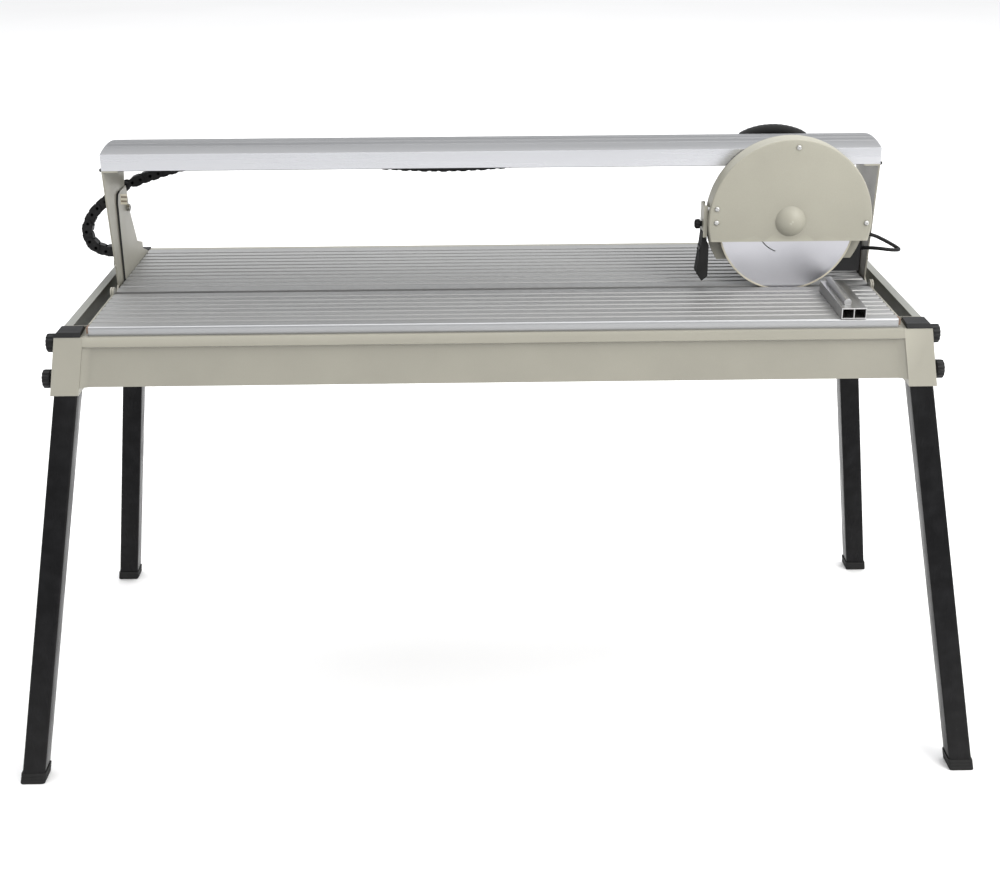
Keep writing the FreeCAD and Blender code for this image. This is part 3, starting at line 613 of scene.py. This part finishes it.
def chain_link(bm, matrix, outer):
    edge = 11.0 if outer else 8.4
    for side in (1, -1):
        low, high = sorted((side * (edge - 2.4), side * edge))
        capsule_plate(bm, matrix, 15.5, 9.2, low, high)
        if outer:
            for x in (-8.5, 8.5):
                centre = matrix @ Vector((x * MM, side * (edge - 0.6) * MM, 0))
                direction = (matrix.to_3x3() @ Vector((0, side, 0))).normalized()
                lathe(bm, fillet_profile(3.2, 0.6, 0.1, 0.2, 2), centre, direction, 16)
    for z in (-1, 1):
        low, high = sorted((z * 7.6, z * 10.2))
        width = edge - 0.4
        box_into(bm, (-5.5, -width, low), (5.5, width, high), matrix)


def build_chain(name, node, points):
    bm = bmesh.new()
    places = even_points(smooth_path(points), CHAIN_PITCH)
    for i, (a, b) in enumerate(zip(places, places[1:])):
        middle = (a + b) / 2
        along = Vector((b.x - a.x, 0, b.y - a.y)).normalized()
        up = Vector((-along.z, 0, along.x))
        across = up.cross(along)
        matrix = Matrix((along, across, up)).transposed().to_4x4()
        matrix.translation = Vector((middle.x * MM, SLOT_Y + CHAIN_Y * MM, middle.y * MM))
        chain_link(bm, matrix, i % 2 == 0)
    return add_piece(name, bm, "bridge", MATERIALS["black_plastic"], (node,), 30)


def build_bridge():
    # Rail top in the darker aluminium copy (painted shade), front face in the lighter copy (painted
    # reflection).
    rail = soften("bridge_rail", 0.25, 1, RAIL_TOP_PAINTED_SHADE)
    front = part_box("bridge_rail")[0][1]
    paint_faces(rail, POLISHED_PAINTED_REFLECTION, lambda c, n: c.y < front + 1 * MM and n.y < -0.8)
    for side in ("left", "right"):
        soften("tilt_arm_" + side, 0.5, 2)
        soften("angle_plate_" + side, 0.5, 2)
    soften("pivot_pins", 0.5, 2)
    soften("clamp_nuts", 0.6, 2)
    build_chain("drag_chain_loop_links", "drag_chain_loop", CHAIN_LOOP)
    build_chain("drag_chain_run_links", "drag_chain_run", CHAIN_RUN)

    bracket = bmesh.new()
    arm_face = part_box("tilt_arm_left")[0][0] / MM
    plate_face = arm_face - 23.6
    y = SLOT_MM + CHAIN_Y
    box_into(bracket, (plate_face, y - 44, 863), (arm_face - 19.4, y + 6, 877))
    box_into(bracket, (arm_face - 20, y - 44, 863), (arm_face, y - 28, 877))
    bevel_all(bracket, 0.6)
    for z in (866, 874):
        pan_screw(bracket, Vector((plate_face, y - 36, z)) * MM, NEG_X, 2.4, 1.8)
    add_piece("chain_bracket", bracket, "bridge", MATERIALS["zinc_steel"])

    screws, rail_shadow_and_end_screws = bmesh.new(), bmesh.new()
    low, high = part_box("bridge_rail")
    outer_faces = ((-1, low[0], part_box("tilt_arm_left")[0][0]),
                   (1, high[0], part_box("tilt_arm_right")[1][0]))
    for side, rail_end, arm_face in outer_faces:
        outward = (side, 0, 0)
        for dy in (76.0, 142.0):
            pan_screw(screws, (rail_end, low[1] + dy * MM, low[2] + 1.6 * MM), outward, 3.6, 3.4)
        for dy in (40, 80, 150):
            place = (arm_face, SLOT_Y + dy * MM, TABLE_Z + 205 * MM)
            pan_screw(screws, place, outward, 4.2, 3.0, 6.0)
        pan_screw(rail_shadow_and_end_screws, (rail_end, low[1] + 5 * MM, low[2] + 1.0 * MM), outward, 3.4, 4.2)
    add_piece("bridge_screws", screws, "bridge", MATERIALS["zinc_steel"])
    # Black strip under the rail's front bottom edge: painted shadow of the rail's lip; the black
    # screws above are real end screws.
    box_into(rail_shadow_and_end_screws, (low[0] / MM + 2, low[1] / MM + 2, low[2] / MM - 1.0),
             (high[0] / MM - 2, low[1] / MM + 9, low[2] / MM - 0.05))
    add_piece("rail_edge_painted_shadow_and_end_screws", rail_shadow_and_end_screws, "bridge", MATERIALS["black_plastic"])


def build_scale_labels():
    """Plain angle scale beside each clamp, two bars on a card, and a black strip along each plate's
    front edge as a painted shadow of the gap there.
    """
    edge_shadow_route = [(95, -4), (95, 60), (95, 150), (103, 163), (120, 166)]
    for side, sign in (("left", -1), ("right", 1)):
        low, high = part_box("angle_plate_" + side)
        face = (high[0] if sign < 0 else low[0]) / MM
        middle = Vector((face, SLOT_MM + 143, 988)) * MM
        lean = Matrix.Translation(middle) @ Matrix.Rotation(math.radians(-13), 4, "X")

        def slab(bm, y, z, half_y, half_z, proud):
            x0, x1 = sorted((0, -sign * proud))
            box_into(bm, (x0, y - half_y, z - half_z), (x1, y + half_y, z + half_z), lean)

        card = bmesh.new()
        slab(card, 0, 0, 27, 10, 0.25)
        add_piece("scale_card_" + side, card, "base", LABEL)
        marks = bmesh.new()
        for z in (-4, 4):
            slab(marks, 1, z, 24, 1.8, 0.4)
        add_piece("scale_marks_" + side, marks, "base", LABEL_INK)

        # Black strip on the plate's front edge: painted shadow of the gap between arm and plate.
        edge_shadow_strip = bmesh.new()
        x0, x1 = sorted((face, face + sign * 3.0))
        for (y0, z0), (y1, z1) in zip(edge_shadow_route, edge_shadow_route[1:]):
            along = Vector((0, y1 - y0, z1 - z0))
            up = along.normalized()
            turn = Matrix(((1, 0, 0), (0, -up.z, up.y), (0, up.y, up.z))).to_4x4()
            turn.translation = Vector((0, SLOT_Y + y0 * MM, TABLE_Z + z0 * MM))
            box_into(edge_shadow_strip, (x0 - 0.15, 0.0, -0.3), (x1 + 0.15, 1.1, along.length + 0.3), turn)
        add_piece("plate_edge_painted_shadow_" + side, edge_shadow_strip, "base", MATERIALS["black_rubber"])


# ---------------------------------------------------------------- cutting head

GUARD_Z = 973.0
GUARD_R = 150.0
GUARD_FLAT = 935.5
GUARD_FRONT = -29.0
GUARD_DEPTH = 42.5


def cap_plane(bm, height):
    """Cuts a solid level at a height in mm, drops what is below and closes the cut."""
    cut = bmesh.ops.bisect_plane(bm, geom=bm.verts[:] + bm.edges[:] + bm.faces[:], dist=1e-6,
                                 plane_co=(0, 0, height * MM), plane_no=(0, 0, -1),
                                 clear_outer=True)
    edges = [e for e in cut["geom_cut"] if isinstance(e, bmesh.types.BMEdge)]
    bmesh.ops.triangle_fill(bm, use_beauty=True, edges=edges)


def arc_profile(centre, radius, first, last, steps):
    """Points of an arc in (radius, along) space; angles in degrees from the radius axis."""
    angles = [math.radians(first + (last - first) * i / steps) for i in range(steps + 1)]
    return [(centre[0] + radius * math.cos(a), centre[1] + radius * math.sin(a)) for a in angles]


def dome_profile(rim, rise, base, steps):
    """Spherical cap from its crown down to its rim."""
    ball = (rim ** 2 + rise ** 2) / (2 * rise)
    angles = [math.asin(rim / ball) * i / steps for i in range(steps + 1)]
    return [(max(HUB, ball * math.sin(a)), base + rise - ball * (1 - math.cos(a)))
            for a in angles]


def build_guard():
    depth = GUARD_DEPTH
    outer = dome_profile(28.0, 13.0, depth, 12)
    outer += [(r, depth) for r in (29.2, 33, 60, 100, 135)]
    outer += arc_profile((GUARD_R - 3, depth - 3), 3, 90, 0, 5)
    outer += [(GUARD_R, 0)]
    inner = [(GUARD_R - 2, 0), (GUARD_R - 2, depth - 4), (GUARD_R - 4, depth - 2),
             (29.5, depth - 2)]
    inner += reversed(dome_profile(26.5, 12.5, depth - 2, 8))
    bm = bmesh.new()
    lathe(bm, outer + inner, head_point(0, GUARD_FRONT + depth, GUARD_Z), NEG_Y, 144)
    cap_plane(bm, GUARD_FLAT)
    add_piece("guard_cover", bm, "carriage", GUARD_PAINT, ("guard_front",), 32)
    soften("guard_back", 0.6, 2)

    screws = bmesh.new()
    for x, z in ((7, 1108), (-135.5, 996.6), (-135.8, 971.3), (139.9, 968.5)):
        pan_screw(screws, head_point(x, GUARD_FRONT, z), NEG_Y, 4.6, 2.9)
    pan_screw(screws, head_point(-148.2, -14, 994), NEG_X, 4.0, 3.2)
    add_piece("guard_screw_heads", screws, "carriage", MATERIALS["zinc_steel"],
              ("guard_screws",), 30)


def polar_plate(bm, radii, steps, missing, y0, y1):
    """Flat disc in rings and steps with some cells left out, as a closed solid."""
    turns = [2 * math.pi * i / steps for i in range(steps)]
    grid = [[[bm.verts.new(head_point(r * math.cos(a), y, AXIS_MM + r * math.sin(a)))
              for a in turns] for r in radii] for y in (y0, y1)]
    rings = len(radii) - 1

    def present(j, i):
        return 0 <= j < rings and not missing(j, i % steps)

    for j in range(rings):
        for i in range(steps):
            if not present(j, i):
                continue
            k = (i + 1) % steps
            for level in grid:
                bm.faces.new((level[j][i], level[j][k], level[j + 1][k], level[j + 1][i]))
            walls = (((j, i), (j, k), present(j - 1, i)),
                     ((j + 1, i), (j + 1, k), present(j + 1, i)),
                     ((j, i), (j + 1, i), present(j, i - 1)),
                     ((j, k), (j + 1, k), present(j, i + 1)))
            for (a, b), (c, d), neighbour in walls:
                if not neighbour:
                    bm.faces.new((grid[0][a][b], grid[0][c][d], grid[1][c][d], grid[1][a][b]))
    loose = [v for v in bm.verts if not v.link_faces]
    bmesh.ops.delete(bm, geom=loose, context="VERTS")


def build_blade():
    """Steel disc with three arc slots, and the diamond rim around it."""
    steps, rim_inner, rim_outer = 216, 123.6, 127.0

    def slot_cell(j, i):
        return j == 1 and (i - 129) % 72 < 21

    bm = bmesh.new()
    polar_plate(bm, (12.75, 54.0, 55.8, 90.0, rim_inner), steps, slot_cell, -1.0, 1.0)
    add_piece("blade_disc", bm, "spindle", MATERIALS["blade_steel"], ("blade",), 30)
    rim = bmesh.new()
    profile = [(rim_inner, -1.2), (rim_outer - 0.6, -1.2), (rim_outer, -0.7), (rim_outer, 0.7),
               (rim_outer - 0.6, 1.2), (rim_inner, 1.2)]
    lathe(rim, profile, head_point(0, 0, AXIS_MM), Y_AXIS, steps, looped=True)
    add_piece("blade_diamond_rim", rim, "spindle", DIAMOND, (), 30)
    for node in ("blade_flanges", "arbor_nut"):
        soften(node, 0.4, 2)


HANDLE_Y = 186


def sweep(bm, path, section):
    """Sweeps a section (across, normal) along a path of (x, z) in the handle's plane, in mm."""
    rings = []
    for i, (x, z) in enumerate(path):
        a, b = path[max(0, i - 1)], path[min(len(path) - 1, i + 1)]
        along = Vector((b[0] - a[0], b[1] - a[1])).normalized()
        rings.append([head_point(x - along.y * n, HANDLE_Y + y, z + along.x * n)
                      for y, n in section(i)])
    loft(bm, rings)


def build_handle():
    crown_z, chord, rise = 1103.0, 57.0, 13.0
    ball = (chord ** 2 + rise ** 2) / (2 * rise)
    half = math.asin(chord / ball)
    angles = [half * (i / 12 - 1) for i in range(25)]
    top = [(ball * math.sin(a), crown_z - ball * (1 - math.cos(a))) for a in angles]
    side = [(41, 1006), (46, 1022), (53, 1045), (59, 1066), (61.5, 1078), (61, 1085)]
    arch = [(-x, z) for x, z in side] + top + side[::-1]
    bm = bmesh.new()
    sweep(bm, arch, lambda _: round_rect(22, 19, 7, 4))
    base = bmesh.new()
    box_into(base, (HEAD_MM - 44, SLOT_MM + 174.5, 1004), (HEAD_MM + 44, SLOT_MM + 197.5, 1030))
    bevel_all(base, 5, 4)
    merge(bm, base)
    add_piece("push_handle", bm, "carriage", MATERIALS["black_plastic"],
              ("carriage_handle",), 40)
    grip, groove = bmesh.new(), 0.8
    sweep(grip, top[1:-1],
          lambda i: round_rect(23.6 - (i % 2) * groove, 20 - (i % 2) * groove, 8, 4))
    add_piece("push_handle_grip", grip, "carriage", MATERIALS["black_rubber"], (),
              40)


def merge(bm, other):
    """Adds another bmesh's solid to this one."""
    mesh = bpy.data.meshes.new("merge")
    other.to_mesh(mesh)
    bm.from_mesh(mesh)
    bpy.data.meshes.remove(mesh)
    other.free()


def build_motor():
    for node, width in (("motor_housing", 0.6), ("motor_cover", 0.6), ("carriage_frame", 0.5),
                        ("roller_set_left", 0.5), ("roller_set_right", 0.5)):
        soften(node, width, 2)
    anchor = bmesh.new()
    box_into(anchor, (HEAD_MM - 74, SLOT_MM + 198.2, 1040), (HEAD_MM - 40, SLOT_MM + 199.8, 1058))
    bevel_all(anchor, 0.3)
    add_piece("chain_anchor", anchor, "carriage", MATERIALS["zinc_steel"])
    back = (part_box("motor_cover")[1][1] - SLOT_Y) / MM
    centre = head_point(0, back, AXIS_MM)
    screws, screw_circle = bmesh.new(), 36
    for i in range(4):
        a = math.pi / 4 + i * math.pi / 2
        place = head_point(screw_circle * math.cos(a), back, AXIS_MM + screw_circle * math.sin(a))
        pan_screw(screws, place, Y_AXIS, 3.4, 2.4, 5.0)
    add_piece("motor_cover_screws", screws, "carriage", MATERIALS["zinc_steel"])
    grille = bmesh.new()
    for radius in (10, 16, 22, 28):
        ring = [(radius - 1.6, 0), (radius - 1.2, 1.2), (radius + 1.2, 1.2), (radius + 1.6, 0)]
        lathe(grille, ring, centre, Y_AXIS, looped=True)
    for i in range(6):
        turn = Matrix.Rotation(math.pi / 3 * i, 4, "Y")
        turn.translation = centre
        box_into(grille, (6, 0.0, -1.5), (30, 1.0, 1.5), turn)
    add_piece("motor_cover_grille", grille, "carriage", MATERIALS["black_plastic"])


CABLE_ROUTE = [(698, 33, 934), (716, 34.5, 931), (741, 34, 919), (761, 19, 909), (758, -6, 911),
               (738, -20, 915), (714, -14, 917), (701, 6, 913), (695, 20, 909.5)]
CABLE_D = 6.8


def build_cable():
    points = [Vector((x * MM, SLOT_Y + y * MM, z * MM)) for x, y, z in CABLE_ROUTE]
    curve = bpy.data.curves.new("motor_cable_line", "CURVE")
    curve.dimensions = "3D"
    spline = curve.splines.new("NURBS")
    spline.points.add(len(points) - 1)
    for point, place in zip(spline.points, points):
        point.co = (*place, 1)
    spline.order_u = 3
    spline.use_endpoint_u = True
    spline.resolution_u = 12
    curve.bevel_depth = CABLE_D / 2 * MM
    curve.bevel_resolution = 6
    curve.use_fill_caps = True
    cable = bpy.data.objects.new("motor_cable_line", curve)
    bpy.context.scene.collection.objects.link(cable)
    curve.materials.append(MATERIALS["black_rubber"])
    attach(cable, "carriage")
    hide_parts("motor_cable")


def build_switch():
    soften("switch_box", 1.6, 3)
    soften("switch_button", 1.2, 3)
    outer_half, inner_half = 14, 10.2
    low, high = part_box("switch_button")
    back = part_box("switch_box")[1][1]
    middle = Vector(((low[0] + high[0]) / 2, back, (low[2] + high[2]) / 2)) / MM
    bm = bmesh.new()
    box_into(bm, middle - Vector((outer_half, 0, outer_half)),
             middle + Vector((outer_half, 1.6, outer_half)))
    bevel_all(bm, 0.8)
    hole = bmesh.new()
    box_into(hole, middle - Vector((inner_half, 4, inner_half)),
             middle + Vector((inner_half, 6, inner_half)))
    add_piece("switch_bezel", carved(bm, hole), "carriage", MATERIALS["black_plastic"])


def carved(bm, cutter):
    """Result of cutting one closed bmesh out of another, as a new bmesh."""
    objects = []
    for source in (bm, cutter):
        bmesh.ops.recalc_face_normals(source, faces=source.faces)
        mesh = bpy.data.meshes.new("carving")
        source.to_mesh(mesh)
        source.free()
        objects.append(bpy.data.objects.new("carving", mesh))
        bpy.context.scene.collection.objects.link(objects[-1])
    add_modifier(objects[0], "BOOLEAN", operation="DIFFERENCE", object=objects[1], solver="EXACT")
    depsgraph = bpy.context.evaluated_depsgraph_get()
    result = bmesh.new()
    result.from_mesh(objects[0].evaluated_get(depsgraph).to_mesh())
    for item in objects:
        mesh = item.data
        bpy.data.objects.remove(item)
        bpy.data.meshes.remove(mesh)
    return result


def build_flap():
    soften("flap_bracket", 0.5, 2, GUARD_PAINT)
    flap = soften("splash_flap", 1.0, 3)
    flap.name = "splash_flap_rubber"
    build_knob("flap_knob", HINGES["flap_knob_turn"], 0.0, 9.0, 10.0, 8, 2.0)
    clamp = bmesh.new()
    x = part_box("splash_flap")[0][0] / MM
    y = SLOT_MM + 5
    box_into(clamp, (x + 4.6, y - 14, 905), (x + 7.4, y + 14, 921))
    bevel_all(clamp, 0.5)
    for dy in (-9, 9):
        pan_screw(clamp, Vector((x + 4.8, y + dy, 913)) * MM, (-1, 0, 0.09), 2.8, 1.8)
    add_piece("flap_clamp_strip", clamp, "splash_flap", MATERIALS["black_plastic"])


def finish_cad_nodes():
    """Procedural materials on the CAD nodes that stay as they are."""
    for node, piece in NODES.items():
        material = MATERIALS[SLOT_OF[node]]
        for slot in piece.material_slots:
            slot.link = "OBJECT"
            slot.material = material


# ---------------------------------------------------------------- stage

def area_light(name, place, target, size, energy, color=(1, 1, 1)):
    data = bpy.data.lights.new(name, "AREA")
    data.size = size
    data.energy = energy
    data.color = color
    light = bpy.data.objects.new(name, data)
    light.location = place
    light.rotation_euler = (Vector(target) - Vector(place)).to_track_quat("-Z", "Y").to_euler()
    bpy.context.scene.collection.objects.link(light)


def build_stage():
    """White floor, a world that darkens to the back and to the left, a key and a top light."""
    bm = bmesh.new()
    half = 40.0
    corners = ((-half, -half), (half, -half), (half, half), (-half, half))
    bm.faces.new([bm.verts.new((x, y, 0)) for x, y in corners])
    mesh = bpy.data.meshes.new("floor")
    bm.to_mesh(mesh)
    bm.free()
    floor = bpy.data.objects.new("floor", mesh)
    bpy.context.scene.collection.objects.link(floor)
    material = new_material("pale_floor", (0.93, 0.93, 0.93), 0.9)
    tree, shader = nodes_of(material)
    tone = ramp(tree, noise(tree, 0.6, 2), [(0.3, (0.92, 0.92, 0.92)), (0.7, (0.94, 0.94, 0.94))])
    tree.links.new(tone, shader.inputs["Base Color"])
    mesh.materials.append(material)

    world = bpy.data.worlds.new("studio")
    bpy.context.scene.world = world
    world.use_nodes = True
    tree = world.node_tree
    background = tree.nodes["Background"]
    background.inputs["Strength"].default_value = 1.2
    direction = tree.nodes.new("ShaderNodeTexCoord")
    split = tree.nodes.new("ShaderNodeSeparateXYZ")
    tree.links.new(direction.outputs["Generated"], split.inputs["Vector"])
    back = span(tree, split.outputs["Y"], 0.0, 1.0, (0.1, 0.9))
    tone = ramp(tree, back, [(0.0, (1.0, 1.0, 1.0)), (1.0, (0.52, 0.53, 0.55))])
    side = span(tree, split.outputs["X"], 0.0, 1.0, (-0.9, 0.1))
    flank = ramp(tree, side, [(0.0, (0.42, 0.42, 0.43)), (1.0, (1.0, 1.0, 1.0))])
    tree.links.new(mixed(tree, 1.0, tone, flank, "MULTIPLY"), background.inputs["Color"])
    area_light("key", (2.6, -2.6, 2.9), (0.3, 0, 0.85), 2.2, 85, (1, 0.985, 0.95))
    area_light("top", (0, 2.7, 6.6), (0, 2.7, 0), 11.0, 615)


def build_camera():
    """Camera of the main picture; pitch, yaw and roll in degrees."""
    data = bpy.data.cameras.new("camera")
    data.sensor_width = 36.0
    data.lens = 53.875
    camera = bpy.data.objects.new("camera", data)
    pitch, yaw, roll = 21.54, 0.85, -0.37
    turn = (Matrix.Rotation(math.radians(-yaw), 4, "Z")
            @ Matrix.Rotation(math.radians(90 - pitch), 4, "X")
            @ Matrix.Rotation(math.radians(roll), 4, "Z"))
    camera.matrix_world = Matrix.Translation((-0.0293, -2.8012, 1.6188)) @ turn
    bpy.context.scene.collection.objects.link(camera)
    bpy.context.scene.camera = camera


finish_cad_nodes()
build_frame()
build_table()
build_bridge()
build_scale_labels()
build_guard()
build_blade()
build_handle()
build_motor()
build_cable()
build_switch()
build_flap()
build_stage()
build_camera()
bpy.context.scene.view_settings.view_transform = "Standard"
